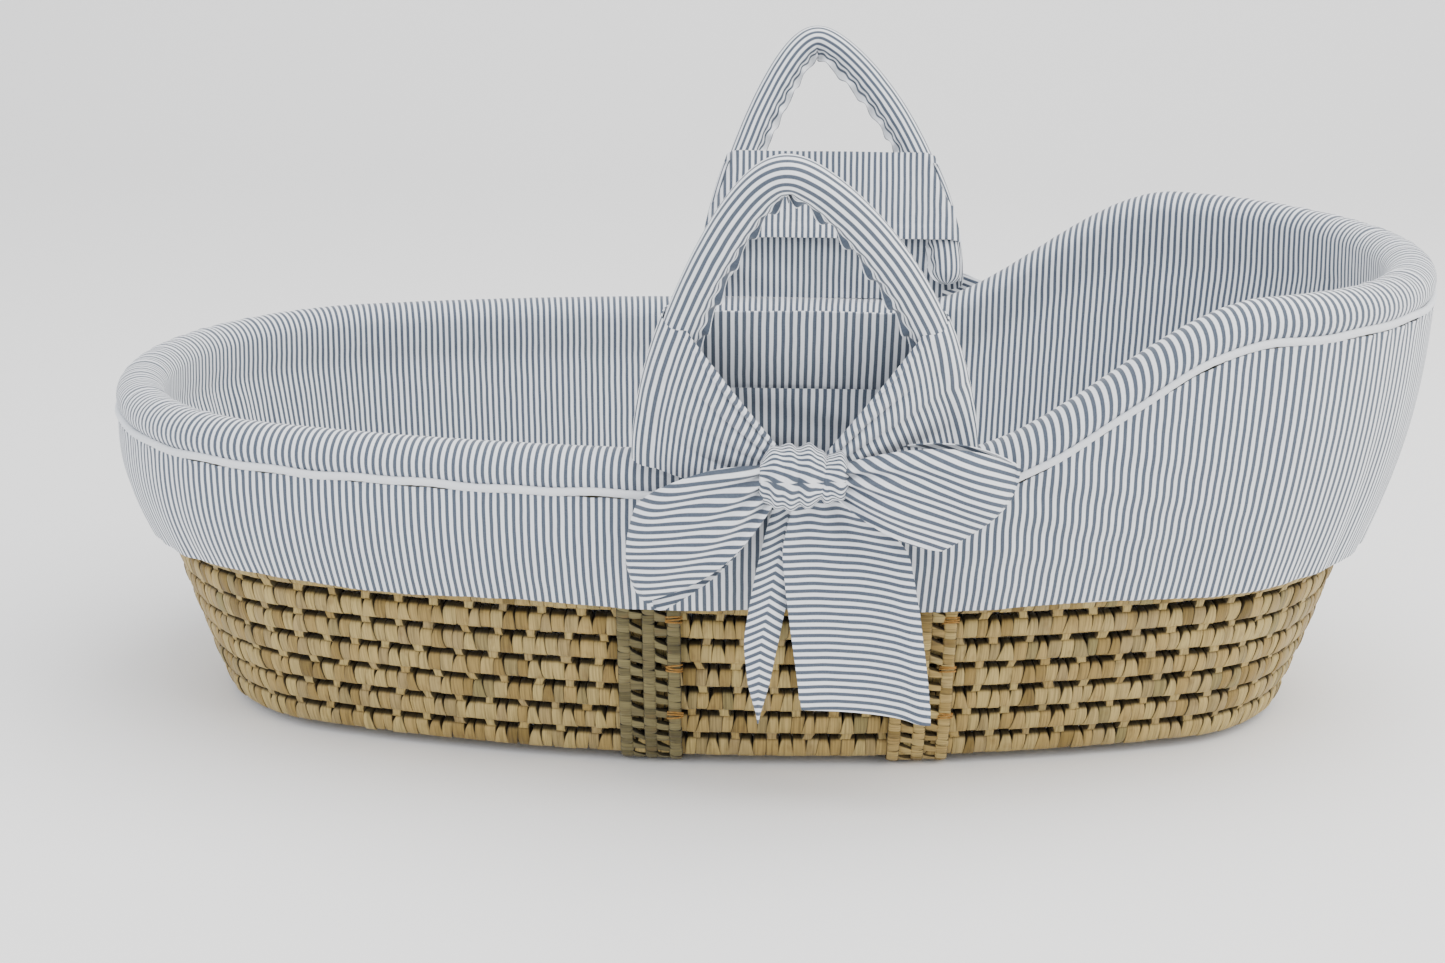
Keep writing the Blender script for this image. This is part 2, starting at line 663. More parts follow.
def makeStrap(name, node, end, material, slot, toneRange):
    points, around, tones = [], [], []
    for cord in (-1, 0, 1):
        x = straps["centre"] + end * straps["halfSpan"] + cord * straps["pitch"]
        line = smoothLine(strapLine(x), 0.004)
        side = np.tile((1.0, 0, 0), (len(line), 1))
        stretch = wrapLine(line, side, straps["wrapPitch"], straps["width"] / 2, straps["thickness"] / 2,
                           0.25)
        points.append(stretch[0])
        around.append(stretch[1])
        tones.append(leafTones(stretch[2], *toneRange))
    # short leaf twists that join neighbouring cords, one every groove or so
    for gapSide in (-0.5, 0.5):
        x = straps["centre"] + end * straps["halfSpan"] + gapSide * straps["pitch"]
        line = smoothLine(strapLine(x), 0.004)
        side = np.tile((1.0, 0, 0), (len(line), 1))
        length = np.linalg.norm(np.diff(line, axis=0), axis=1).sum()
        start = np.arange(0.01, length - 0.01, 0.0105) + rng.uniform(-0.001, 0.001)
        count = len(start)
        parts = shapeWraps(count, rng.uniform(0.0042, 0.0068, count), np.full(count, 0.0046),
                           np.full(count, 0.0017), rng.normal(0.35, 0.15, count), rng.uniform(0, 0.6, count),
                           rng.uniform(0, 0.4, count), np.zeros(count))
        points.append(coilPoints(line, side, start, *parts[:3]))
        around.append(leafMap(parts[0], parts[3], 0.002))
        tones.append(leafTones(count, *toneRange))
    piece = stampWraps(name, np.concatenate(points), np.concatenate(around), np.concatenate(tones))
    finish(piece, "basket", material, slot, node)


makeStrap("wovenStrapLeft", "strap_left", -1, greenPalmLeaf, "green_palm_leaf", (0.0, 1.0))
makeStrap("wovenStrapRight", "strap_right", 1, palmLeaf, "palm_leaf", (0.05, 0.75))

# Twine: two or three loose strands round the outer cord of each strap, in three grooves
twine = {"radius": 0.00055, "rows": (2, 4, 6), "strands": (-0.0016, 0.0001, 0.0015)}


def tieTwine():
    loops = []
    for end in (-1, 1):
        x = straps["centre"] + end * straps["halfSpan"] + straps["pitch"]
        line = smoothLine(strapLine(x), 0.004)
        for sideSign in (-1, 1):
            half = line[line[:, 1] * sideSign > 0.05]
            for row in twine["rows"]:
                z = floorZ + row * rowHeight
                y = np.interp(z, half[np.argsort(half[:, 2])][:, 2], half[np.argsort(half[:, 2])][:, 1])
                for drop in twine["strands"]:
                    deselect()
                    bpy.ops.mesh.primitive_torus_add(
                        major_segments=28, minor_segments=6, major_radius=0.0046,
                        minor_radius=twine["radius"],
                        location=(x, y, z + drop),
                        rotation=(sideSign * rng.uniform(0.1, 0.4), rng.uniform(-0.15, 0.15), 0))
                    loop = bpy.context.object
                    loop.scale = (1.05, 0.82, 1)
                    bpy.ops.object.transform_apply(location=True, rotation=True, scale=True)
                    loops.append(loop)
    deselect()
    for loop in loops:
        loop.select_set(True)
    bpy.context.view_layer.objects.active = loops[0]
    bpy.ops.object.join()
    piece = bpy.context.object
    piece.name = "twineLoops"
    layer = piece.data.attributes.new("leafTone", "FLOAT", "POINT")
    layer.data.foreach_set("value", rng.uniform(0.2, 1, len(piece.data.vertices)).astype(np.float32))
    shadeSmooth(piece)
    finish(piece, "basket", twineFibre, "twine", "strap_ties")


tieTwine()
print("straps and base woven")

# ---- lining and skirt ----

# Soft folds: waves along the cloth that lean with height and come and go
lining = {"across": 440, "along": 64, "cloth": 0.0011, "gap": 0.0015, "folds": 0.0034,
          "waves": [(0.052, 0.9, 5.0), (0.031, 0.6, -7.0), (0.019, 0.35, 11.0), (0.012, 0.16, 0.0)],
          "pleatAt": (0.094, 0.16), "pleatWide": 0.0045}
lineRandom = np.random.default_rng(5)
wavePhases = lineRandom.uniform(0, fullTurn, 8)


def softWaves(length, z, waves, phases):
    # a sum of waves from 0 to about 1 along a length of cloth
    total = sum(size * np.sin(fullTurn * length / pitch + lean * (z - 0.1) * fullTurn + phases[i])
                for i, (pitch, size, lean) in enumerate(waves))
    return 0.5 + 0.5 * total / sum(size for _, size, _ in waves)


def endStrength(angle, footReach, headReach):
    foot = 1 - smooth((np.abs(angle - math.pi) - math.radians(footReach)) / math.radians(30))
    head = 1 - smooth((np.minimum(angle, fullTurn - angle) - math.radians(headReach)) / math.radians(26))
    return foot, head


def placeLining(a, b):
    # from the piping over the rim, down the inside, and across the floor of the basket
    angle = rimAngle(a)
    walked = a * rimLength
    rimZ = stationRim(angle)
    middle = rimMiddle(rimZ)
    over = np.clip(b / 0.28, 0, 1)
    down = np.clip((b - 0.28) / 0.56, 0, 1)
    inward = np.clip((b - 0.84) / 0.16, 0, 1)
    turn = np.radians(-36 + 232 * over)
    foot, head = endStrength(angle, 42, 36)
    pucker = softWaves(walked, rimZ * 0, [(0.013, 1, 0), (0.0083, 0.7, 0), (0.021, 0.8, 0)], wavePhases[4:])
    puff = (0.0012 * np.sin(turn.clip(0, math.pi)) - 0.0011 * pucker * (0.35 + foot + 1.2 * head)
            * np.sin(turn.clip(0, math.pi)))
    archX = (rim["arch"][0] + puff) * np.cos(turn)
    archZ = (rim["arch"][1] + puff) * np.sin(turn)
    footZ = baseHigh.z + 0.0012
    topZ = rimZ - 0.006
    wallZ = topZ + (footZ - topZ) * down
    rollZ = rimZ + rim["archRise"] + archZ
    overLast = math.radians(196)
    innerTop = rimMiddle(rimZ) + rim["arch"][0] * math.cos(overLast)
    innerWall = leanAt(wallZ) - wall["thickness"] - lining["gap"] - lining["cloth"]
    join = smooth(down / 0.12)
    fold = softWaves(walked, wallZ, lining["waves"], wavePhases)
    window = smooth((wallZ - 0.058) / 0.05) * smooth((topZ - wallZ) / 0.03)
    side = 0.14 + 0.06 * np.sin(walked * 23)
    folds = lining["folds"] * fold * window * np.maximum(side, np.maximum(foot, 0.9 * head))
    x, y = ovalPoint(angle, innerWall)
    pleatPlace = lining["pleatAt"][0] + 0.05 * (wallZ - 0.2)
    pleat = np.exp(-((x - pleatPlace) / lining["pleatWide"]) ** 2) * (y > 0) * smooth((wallZ - 0.06) / 0.03)
    pleat = pleat * smooth((topZ - wallZ) / 0.02)
    wallOffset = innerTop * (1 - join) + innerWall * join - folds - 0.004 * pleat
    offset = np.where(b <= 0.28, middle + archX, wallOffset)
    z = np.where(b <= 0.28, rollZ, wallZ)
    x, y = ovalPoint(angle, offset)
    x = np.where(inward > 0, centreX + (x - centreX) * (1 - 0.98 * inward), x)
    y = np.where(inward > 0, y * (1 - 0.98 * inward), y)
    onRoll = 0.056 * over
    lengthDown = np.where(b <= 0.28, onRoll, 0.056 + (topZ - wallZ)) + inward * 0.12
    return columns(x, y, z), columns(walked, lengthDown)


liningPiece = clothGrid("stripedLining", lining["across"], lining["along"], placeLining, 0.0008, closed=True)
finish(liningPiece, "basket", stripedCotton, "striped_cotton", "lining")

skirt = {"across": 460, "along": 44, "in": 0.0099, "puff": 0.005, "hemIn": 0.001, "cloth": 0.0016,
         "hem": 0.120, "turn": 0.010, "flutes": [(0.043, 1, 1.5), (0.027, 0.7, -2.0), (0.017, 0.35, 0.0)]}
skirtRandom = np.random.default_rng(8)
flutePhases = skirtRandom.uniform(0, fullTurn, 8)


def placeSkirt(a, b):
    # down from the piping, then turned under at the hem
    angle = rimAngle(a)
    walked = a * rimLength
    rimZ = stationRim(angle)
    topZ = rimZ - rim["pipingDrop"] - rim["pipingRadius"] - 0.0002
    hemAt = 0.92
    u = np.clip(b / hemAt, 0, 1)
    under = np.clip((b - hemAt) / (1 - hemAt), 0, 1)
    z = topZ + (skirt["hem"] - topZ) * u
    flute = softWaves(walked, z, skirt["flutes"], flutePhases) - 0.5
    ends = np.abs(np.cos(angle)) ** 2
    depth = 0.0008 + 0.0022 * u ** 2 * (0.4 + ends)
    x, y = ovalPoint(angle, leanAt(z))
    near = y < 0
    dragX = x - 0.14
    drag = np.exp(-(dragX / 0.10) ** 2) * near * np.exp(-((z - 0.185) / 0.045) ** 2)
    dragWave = np.sin(fullTurn * (z + 0.22 * np.abs(dragX)) / 0.026 + 3 * x)
    # drawn in just under the piping, like cloth sewn to a cord
    seam = np.exp(-u / 0.03) * 0.0009 * np.sin(fullTurn * walked / 0.0165 + 2 * np.sin(walked * 31))
    offset = (leanAt(z) + skirt["in"] + skirt["cloth"] / 2 + skirt["hemIn"] * u
              + skirt["puff"] * np.sin(math.pi * u) + depth * flute + 0.0011 * drag * dragWave + seam)
    z = z + skirt["turn"] * 0.55 * under + 0.0012 * u ** 4 * np.sin(walked * 37 + flutePhases[0])
    offset = offset - 0.0022 * np.sin(math.pi / 2 * under) - 0.0006 * under
    x, y = ovalPoint(angle, offset)
    return columns(x, y, z), columns(walked, (topZ - z) + under * 0.02)


skirtPiece = clothGrid("stripedSkirt", skirt["across"], skirt["along"], placeSkirt, 0.0008, closed=True)
finish(skirtPiece, "basket", stripedCotton, "striped_cotton", "skirt")


def placePiping(a, b):
    # a cord sewn into the seam; its cloth ripples slightly
    angle = rimAngle(a)
    walked = a * rimLength
    rimZ = stationRim(angle)
    turn = fullTurn * b
    radius = rim["pipingRadius"] * (1 + 0.06 * np.sin(fullTurn * walked / 0.0061) * np.sin(turn))
    waver = 0.0005 * np.sin(walked * 55) + 0.0004 * np.sin(walked * 131 + 1)
    x, y = ovalPoint(angle, rimMiddle(rimZ) + rim["pipingOut"] + radius * np.cos(turn))
    return (columns(x, y, rimZ - rim["pipingDrop"] + waver + radius * np.sin(turn)),
            columns(walked, turn * rim["pipingRadius"]))


pipingPiece = clothGrid("rimPiping", 600, 10, placePiping, 0.0, closed=True)
finish(pipingPiece, "basket", whitePiping, "white_piping", "rim_piping")
print("lining, skirt and piping sewn")

# ---- handles ----

sleeve = {"radius": 0.0112, "halfSpan": 0.084, "height": 0.172, "legCurve": 1.38, "topCurve": 4 / 3,
          "skew": 0.013, "lean": math.radians(23), "ruffle": 0.0052, "ruffleWave": 0.021, "ruffleWide": 0.17}
hinges = {j["child"]: Vector(j["pos_m"]) for j in frame["joints"] if j["type"] == "hinge"}


def handlePoint(side, x, rise, out):
    # a point in a handle's own plane, carried to the basket: side is -1 near and 1 far
    hinge = hinges["near_handle" if side < 0 else "far_handle"]
    s, c = math.sin(sleeve["lean"]), math.cos(sleeve["lean"])
    return columns(hinge.x + x, side * (abs(hinge.y) + rise * s + out * c), hinge.z + rise * c - out * s)


def legShift(rise):
    return -sleeve["skew"] * (np.maximum(rise, 0) / sleeve["height"]) ** 3


def legSpread(rise):
    share = np.clip(rise / sleeve["height"], 0, 1) ** (2 / sleeve["topCurve"])
    return sleeve["halfSpan"] * (1 - share) ** (sleeve["legCurve"] / 2)


def archLine(count):
    # evenly spaced points of the rope's line, with its heading
    t = np.linspace(0, math.pi, 2001)
    rise = sleeve["height"] * np.sin(t).clip(0) ** sleeve["topCurve"]
    x = np.sign(np.cos(t)) * sleeve["halfSpan"] * np.abs(np.cos(t)) ** sleeve["legCurve"] + legShift(rise)
    foot = np.linspace(-0.0105, -0.0004, 20)
    x = np.concatenate([np.full(20, x[0]), x, np.full(20, x[-1])])
    rise = np.concatenate([foot, rise, foot[::-1]])
    walked = np.concatenate([[0], np.cumsum(np.hypot(np.diff(x), np.diff(rise)))])
    even = np.linspace(0, walked[-1], count)
    x, rise = np.interp(even, walked, x), np.interp(even, walked, rise)
    for _ in range(24):
        x[1:-1] = (x[:-2] + 2 * x[1:-1] + x[2:]) / 4
        rise[1:-1] = (rise[:-2] + 2 * rise[1:-1] + rise[2:]) / 4
    heading = np.unwrap(np.arctan2(np.gradient(rise), np.gradient(x)))
    return even, x, rise, heading


def makeSleeve(side, name, body, node):
    walked, lineX, lineRise, heading = archLine(260)
    total = walked[-1]
    sleeveRandom = np.random.default_rng(21 if side < 0 else 22)
    phase = sleeveRandom.uniform(0, fullTurn, 4)

    def place(a, b):
        length = a * total
        x, rise = np.interp(length, walked, lineX), np.interp(length, walked, lineRise)
        way = np.interp(length, walked, heading)
        # b runs round the sleeve and gathers its points near the seam, which faces the inside of the arch
        around = (b - 0.5) * 2
        turn = np.sign(around) * np.abs(around) ** 0.8 * math.pi
        fromSeam = math.pi - np.abs(turn)
        ends = np.sqrt(np.clip(1 - (np.abs(2 * a - 1) ** 60), 0.002, 1))
        wave = np.sin(fullTurn * length / sleeve["ruffleWave"] + phase[0] + 1.3
                      * np.sin(length * 41 + phase[1]))
        wave2 = np.sin(fullTurn * length / (sleeve["ruffleWave"] * 0.57) + phase[2])
        pucker = np.exp(-(fromSeam / 0.75) ** 2)
        fin = np.exp(-(fromSeam / sleeve["ruffleWide"]) ** 2)
        soft = 0.0006 * np.sin(length * 60 + 2 * turn + phase[3]) * np.sin(turn / 2) ** 2
        radius = sleeve["radius"] * (1 - 0.09 * pucker
                                     * (1 + wave2)) + soft + sleeve["ruffle"] * fin * (0.75 + 0.25 * wave2)
        # turn 0 faces away from the middle of the arch
        across = -radius * np.cos(turn) * ends
        out = radius * np.sin(turn) * ends + 0.0042 * fin * wave + 0.0012 * pucker * wave
        px = x + np.sin(way) * across * -1
        pz = rise + np.cos(way) * across
        return handlePoint(side, px, pz, out), columns(turn * sleeve["radius"] + 0.0011, length)

    piece = clothGrid(name, 330, 46, place, 0.0, closed=True)
    closeTube(piece)
    finish(piece, body, stripedCotton, "striped_cotton", node)


def closeTube(piece):
    # join the first and last columns and close the ends
    activate(piece)
    bpy.ops.object.mode_set(mode="EDIT")
    bpy.ops.mesh.select_all(action="SELECT")
    bpy.ops.mesh.remove_doubles(threshold=0.00002)
    bpy.ops.mesh.fill_holes(sides=0)
    bpy.ops.mesh.select_all(action="SELECT")
    bpy.ops.mesh.normals_make_consistent(inside=False)
    bpy.ops.object.mode_set(mode="OBJECT")


makeSleeve(-1, "nearSleeve", "near_handle", "near_handle_cover")
makeSleeve(1, "farSleeve", "far_handle", "far_handle_cover")

# ---- sash panels, wings and bows ----

panel = {"height": 0.064, "low": (0.008, 0.020), "behind": 0.0137, "hem": 0.010}


def makePanel(side, name, body, node):
    low = panel["low"][0 if side < 0 else 1]

    def place(a, b):
        rise = low + panel["height"] * b
        edge = legSpread(rise) + sleeve["radius"] + 0.0015
        across = 2 * a - 1
        x = legShift(rise) + edge * across
        # cloth pulled taut round the legs dips a little between them
        wrapRound = smooth((np.abs(across) - 0.86) / 0.14)
        dip = 0.0012 * (1 - across ** 2) * np.sin(math.pi * b)
        ripple = 0.0005 * np.sin(11 * a + 5 * b) + 0.0006 * np.sin(37 * a) * (1 - b)
        hem = 0.0005 * smooth((panel["hem"] - (rise - low)) / 0.001)
        out = -panel["behind"] - hem + dip + ripple + 0.010 * wrapRound ** 2
        return handlePoint(side, x, rise, out), columns(x, rise)

    piece = clothGrid(name, 120, 48, place, 0.0013, closed=True)
    finish(piece, body, stripedCotton, "striped_cotton", node)

    def placeUnder(a, b):
        # the sash cloth that comes down behind the panel to the rim
        across = 2 * a - 1
        rise = low + 0.014
        topPoint = handlePoint(side, legShift(rise) + (legSpread(rise) + 0.004) * across, rise, -0.0085 + 0
                               * a)
        hinge = hinges["near_handle" if side < 0 else "far_handle"]
        x = hinge.x + 0.082 * across
        foot = columns(x, np.full_like(x, side * (abs(hinge.y) + 0.006)), np.full_like(x, fullTop + 0.019))
        share = (1 - b)[:, None]
        fold = 0.0016 * np.sin(13 * a + 9 * b) * np.sin(math.pi * b)
        points = topPoint * (1 - share) + foot * share
        points[:, 1] += side * fold
        return points, columns(x, b * 0.045)

    under = clothGrid(name.replace("Panel", "Underlay"), 80, 16, placeUnder, 0.0008, closed=True)
    under.data.materials.append(stripedCotton)
    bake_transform(under)


makePanel(-1, "nearSashPanel", "near_handle", "near_sash_panel")
makePanel(1, "farSashPanel", "far_handle", "far_sash_panel")
print("handles and panels sewn")

# Wings: each leaves the outside of a leg and gathers into the knot
wing = {"out": 0.0134, "top": 0.078, "low": 0.219, "folds": 4.3, "deep": 0.0042, "wrap": 0.2,
        "knotLow": (0.014, -0.0070), "knotTop": (0.011, 0.0105), "rimGap": 0.0008}
bow = {"loopLong": 0.098, "loopTall": (0.0085, 0.0205), "loopDeep": 0.0085}
bodyOf = {-1: "near_handle", 1: "far_handle"}
prefixOf = {-1: "near", 1: "far"}


def makeWing(side, end, name, node):
    hinge = hinges[bodyOf[side]]
    knotLow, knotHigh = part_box(prefixOf[side] + "_bow_knot")
    knotZ = (knotLow[2] + knotHigh[2]) / 2
    knotOut = (abs(knotLow[1]) + abs(knotHigh[1])) / 2
    low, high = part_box(node)
    rimOut = min(abs(low[1]), abs(high[1])) + wing["rimGap"]
    lean = math.tan(sleeve["lean"])
    folds = wing["folds"] + (0.5 if end > 0 else 0)

    def place(a, b):
        wrapped = np.clip(a / wing["wrap"], 0, 1)
        along = np.clip((a - wing["wrap"]) / (1 - wing["wrap"]), 0, 1)
        # the edge on the leg, round from the back of the sleeve to its front
        rise = -0.004 + (wing["top"] + 0.004) * b
        turn = (1 - wrapped) * math.radians(140)
        legX = end * (legSpread(rise) + wing["out"] * np.sin(turn)) + legShift(rise)
        legPoint = handlePoint(side, legX, rise, wing["out"] * np.cos(turn))
        legPoint[:, 2] -= 0.010 * (1 - b) ** 3
        floorOut = rimOut - 0.006 * np.sin(turn / 2)
        legOut = np.maximum(side * legPoint[:, 1], floorOut)
        # the edge at the knot, gathered to a few folds
        knotX = hinge.x + end * (wing["knotLow"][0] * (1 - b) + wing["knotTop"][0] * b)
        knotHeight = knotZ + wing["knotLow"][1] * (1 - b) + wing["knotTop"][1] * b
        knotDepth = knotOut - 0.004 + 0 * b
        ease = along ** 1.08
        x = legPoint[:, 0] * (1 - ease) + knotX * ease
        z = legPoint[:, 2] * (1 - ease) + knotHeight * ease
        out = legOut * (1 - ease) + knotDepth * ease
        sag = np.sin(math.pi * along) * (0.004 * (1 - b) ** 2 - 0.003 * (end > 0)
                                         * np.exp(-((b - 0.72) / 0.2) ** 2))
        z = z - sag
        # folds fan out from the knot and die away at the leg
        fan = b + 0.05 * np.sin(3 * along + end) * (1 - along)
        ridge = np.abs(np.sin(math.pi * folds * fan + 0.4 + 0.8 * (end > 0))) ** 0.8 - 0.5
        taper = np.sin(math.pi * np.clip(along, 0, 1) ** 0.7) ** 0.8 * (0.35 + 0.65 * along) + 0.3 * along
        out = out + wing["deep"] * ridge * taper + 0.0035 * np.sin(math.pi * along)
        out = np.maximum(out, floorOut * (z < hinge.z - 0.002) + 0.0002)
        # the upper edge is folded back on itself
        fold = smooth((b - 0.955) / 0.045)
        out = out - 0.0035 * fold
        length = along * 0.088 * (1 - 0.08 * b) + wrapped * 0.030
        crease = 0.012 * np.abs(b - 0.55) * (end > 0)
        return columns(x, side * out, z), columns(length + crease, b * 0.08)

    piece = clothGrid(name, 96, 72, place, 0.0008, closed=False)
    finish(piece, None, stripedCotton, "striped_cotton", node)
    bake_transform(piece)


# The knot: a band wrapped slantwise round the gathers, with a smaller turn beside it
def makeKnot(side):
    name = prefixOf[side] + "Knot"
    node = prefixOf[side] + "_bow_knot"
    low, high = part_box(node)
    centre = (Vector(low) + Vector(high)) / 2
    half = ((high[0] - low[0]) / 2 + 0.002, (high[1] - low[1]) / 2 - 0.001, (high[2] - low[2]) / 2)

    def place(a, b):
        along = 2 * b - 1
        turn = fullTurn * a
        main = np.clip(1 - np.abs((along + 0.26) / 0.80) ** 3.2, 0, 1) ** 0.42
        second = 0.80 * np.clip(1 - np.abs((along - 0.66) / 0.36) ** 2.4, 0, 1) ** 0.5
        body = np.maximum(np.maximum(main, second), 0.03)
        slant = turn + 0.9 * along
        folds = 0.0016 * (np.abs(np.sin(1.5 * along * math.pi + 0.8 * np.sin(turn) + 0.6)) ** 0.7 - 0.5)
        folds = folds + 0.0009 * np.sin(5 * along * math.pi + 2 * np.sin(slant))
        round1 = np.abs(np.cos(turn)) ** 0.75 * np.sign(np.cos(turn))
        round2 = np.abs(np.sin(turn)) ** 0.75 * np.sign(np.sin(turn))
        y = (half[1] * body + folds) * round1
        z = (half[2] * body + folds) * round2
        x = half[0] * along + 0.16 * z * np.clip(1.2 - np.abs(along), 0, 1)
        return (columns(centre.x + x, centre.y + side * y, centre.z + z),
                columns(turn * half[2] * 1.05 + 0.30 * x, x))

    piece = clothGrid(name, 72, 60, place, 0.0, closed=False)
    closeTube(piece)
    finish(piece, "basket", stripedCotton, "striped_cotton", node)


# A loop: the band goes out in front, turns at its tip and comes back behind and lower
def makeLoop(side, end, name, node):
    low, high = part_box(node)
    knotLow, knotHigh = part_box(prefixOf[side] + "_bow_knot")
    hinge = hinges[bodyOf[side]]
    drop = math.radians(32 if end < 0 else 11)
    rootX = hinge.x + end * 0.018
    rootZ = (knotLow[2] + knotHigh[2]) / 2 - 0.001
    middle = (abs(low[1]) + abs(high[1])) / 2
    long = bow["loopLong"] if end < 0 else bow["loopLong"] * 0.96

    def place(a, b):
        # a runs along the band, out and back; b across its width
        out = 1 - np.abs(2 * a - 1)
        back = smooth((a - 0.5) / 0.03 + 0.5)
        reach = out + 0.03 * np.sin(math.pi * out)
        far = long * (reach / reach.max()) * (1 - 0.22 * (b - 0.5) * (1 if end < 0 else -1.5) - 0.12
                                              * (2 * b - 1) ** 2)
        u = out
        tall = bow["loopTall"][0] + bow["loopTall"][1] * np.sin(math.radians(126 if end < 0 else 118)
                                                                * u ** 0.9)
        tall = tall * (1 - 0.10 * back)
        w = 2 * b - 1
        lower = back * (0.0125 * np.sin(math.pi / 2 * u) if end < 0 else -0.004 * u)
        depth = bow["loopDeep"] * np.sin(math.pi * np.clip(u, 0, 1) ** 0.8 * 0.97) ** 0.8 * (1 - 2
                * a) / np.maximum(np.abs(1 - 2 * a), 0.02)
        depth = np.where(np.abs(1 - 2 * a) < 0.02, bow["loopDeep"] * 0.12 * (1 - 2 * a) / 0.02, depth)
        gather = (1 - u) ** 1.4
        folds = 0.0032 * gather * np.sin(math.pi * 3.4 * w + 0.7 * end + 1.5 * back)
        soft = 0.0014 * u * np.sin(5.2 * w + 7 * u + end) + 0.0012 * np.sin(9 * u + 2.5 * w)
        bowed = 0.0042 * (1 - w * w) * np.sin(math.pi * u) * (1 - 1.7 * back)
        localZ = tall * w - lower + (0.004 * np.sin(math.pi * u) if end > 0 else 0)
        depth = depth + folds + soft + bowed
        if end > 0:
            # the head-side loop is twisted, so its lower edge comes forward
            depth = depth + 0.0045 * u * (-w) * (1 - back)
        px = far * math.cos(drop) + localZ * math.sin(drop)
        pz = -far * math.sin(drop) + localZ * math.cos(drop)
        uv = columns(pz * 1.0 + 0.12 * px, far + back * 0.1) if end < 0 else columns(localZ + 0.18 * far,
                                                                                     far + back * 0.1)
        return columns(rootX + end * px, side * (middle + depth), rootZ + pz), uv

    piece = clothGrid(name, 120, 44, place, 0.0008, closed=False)
    finish(piece, "basket", stripedCotton, "striped_cotton", node)


def curveAt(where, share, values):
    # a softened curve through a few values
    dense = np.linspace(0, 1, 161)
    line = np.interp(dense, share, values)
    for _ in range(60):
        line[1:-1] = (line[:-2] + 2 * line[1:-1] + line[2:]) / 4
    return np.interp(where, dense, line)


# Tails: each row of an outline gives a height and the left and right edges there
tails = {"narrow": [(0.008, -0.009, 0.004), (-0.030, -0.020, 0.000), (-0.062, -0.027, -0.006),
                    (-0.100, -0.033, -0.013),
                    (-0.128, -0.030, -0.018), (-0.148, -0.0245, -0.0235)],
         "wide": [(0.006, 0.001, 0.016), (-0.020, -0.007, 0.036), (-0.044, -0.012, 0.060),
                  (-0.080, -0.008, 0.067),
                  (-0.134, 0.000, 0.075), (-0.141, 0.001, 0.0755)]}


def makeTail(side, kind, name, node):
    low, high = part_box(node)
    knotLow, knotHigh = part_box(prefixOf[side] + "_bow_knot")
    hinge = hinges[bodyOf[side]]
    knotZ = (knotLow[2] + knotHigh[2]) / 2
    middle = (abs(low[1]) + abs(high[1])) / 2
    rows = np.array(tails[kind])
    share = np.linspace(0, 1, len(rows))

    def place(a, b):
        drop = np.interp(b, share, rows[:, 0])
        left = curveAt(b, share, rows[:, 1])
        right = curveAt(b, share, rows[:, 2])
        x = left + (right - left) * a
        slanted = -0.008 * a * smooth((b - 0.72) / 0.28) if kind == "wide" else -0.003 * np.sin(math.pi
                                                                                                * a) * b
        z = drop + slanted
        gather = np.exp(-b / 0.24)
        if kind == "wide":
            folds = 0.0036 * gather * np.sin(fullTurn * 2.6 * a + 1) + 0.0022 * b * np.sin(3.6 * a + 2.2 * b
                                                                                           + 0.5)
            curve = -0.003 * np.sin(math.pi * a) + 0.004 * np.exp(-((a - 0.92) / 0.09) ** 2) * b
            stripes = z * 0.97 + 0.09 * x + 1.1 * (x - 0.03) ** 2
        else:
            folds = 0.0020 * gather * np.sin(fullTurn * 1.6 * a) + 0.0012 * np.sin(4 * b)
            curve = 0.0034 * (1 - np.abs(2 * a - 1)) * (0.4 + 0.6 * b)
            stripes = z * 0.9 + 0.55 * np.abs(x - (left + right) / 2)
        out = middle + folds + curve
        return columns(hinge.x + x, side * out, knotZ + z), columns(stripes, x)

    piece = clothGrid(name, 60, 80, place, 0.0008, closed=False)
    finish(piece, "basket", stripedCotton, "striped_cotton", node)


for side in (-1, 1):
    prefix = prefixOf[side]
    makeKnot(side)
    for end, where in ((-1, "left"), (1, "right")):
        makeWing(side, end, f"{prefix}Wing{where.title()}", f"{prefix}_sash_wing_{where}")
        makeLoop(side, end, f"{prefix}Loop{where.title()}", f"{prefix}_bow_loop_{where}")
    for kind in ("narrow", "wide"):
        makeTail(side, kind, f"{prefix}Tail{kind.title()}", f"{prefix}_bow_tail_{kind}")
print("wings and bows tied")

# ---- mattress, pillow and what lies under the cloth ----

# Palm of the rows that the skirt hides, patterned on the object's own coordinates
def hiddenPalm(name, colour, shade):
    material, shader = newMaterial(name, 0.8, Specular_IOR_Level=0.3)
    source = addNode(material, "ShaderNodeTexCoord").outputs["Object"]
    stretched = addNode(material, "ShaderNodeMapping", [("Vector", source), ("Scale", (130, 130, 900))])
    grain = addNode(material, "ShaderNodeTexNoise",
                    [("Vector", stretched.outputs[0]), ("Scale", 1.0), ("Detail", 3.0)])
    link(material, mixColour(material, grain.outputs["Fac"], linearColour(colour), linearColour(shade)),
         shader.inputs["Base Color"])
    bump = addNode(material, "ShaderNodeBump",
                   [("Height", grain.outputs["Fac"]), ("Strength", 0.5), ("Distance", 0.001)])
    link(material, bump.outputs[0], shader.inputs["Normal"])
    return material


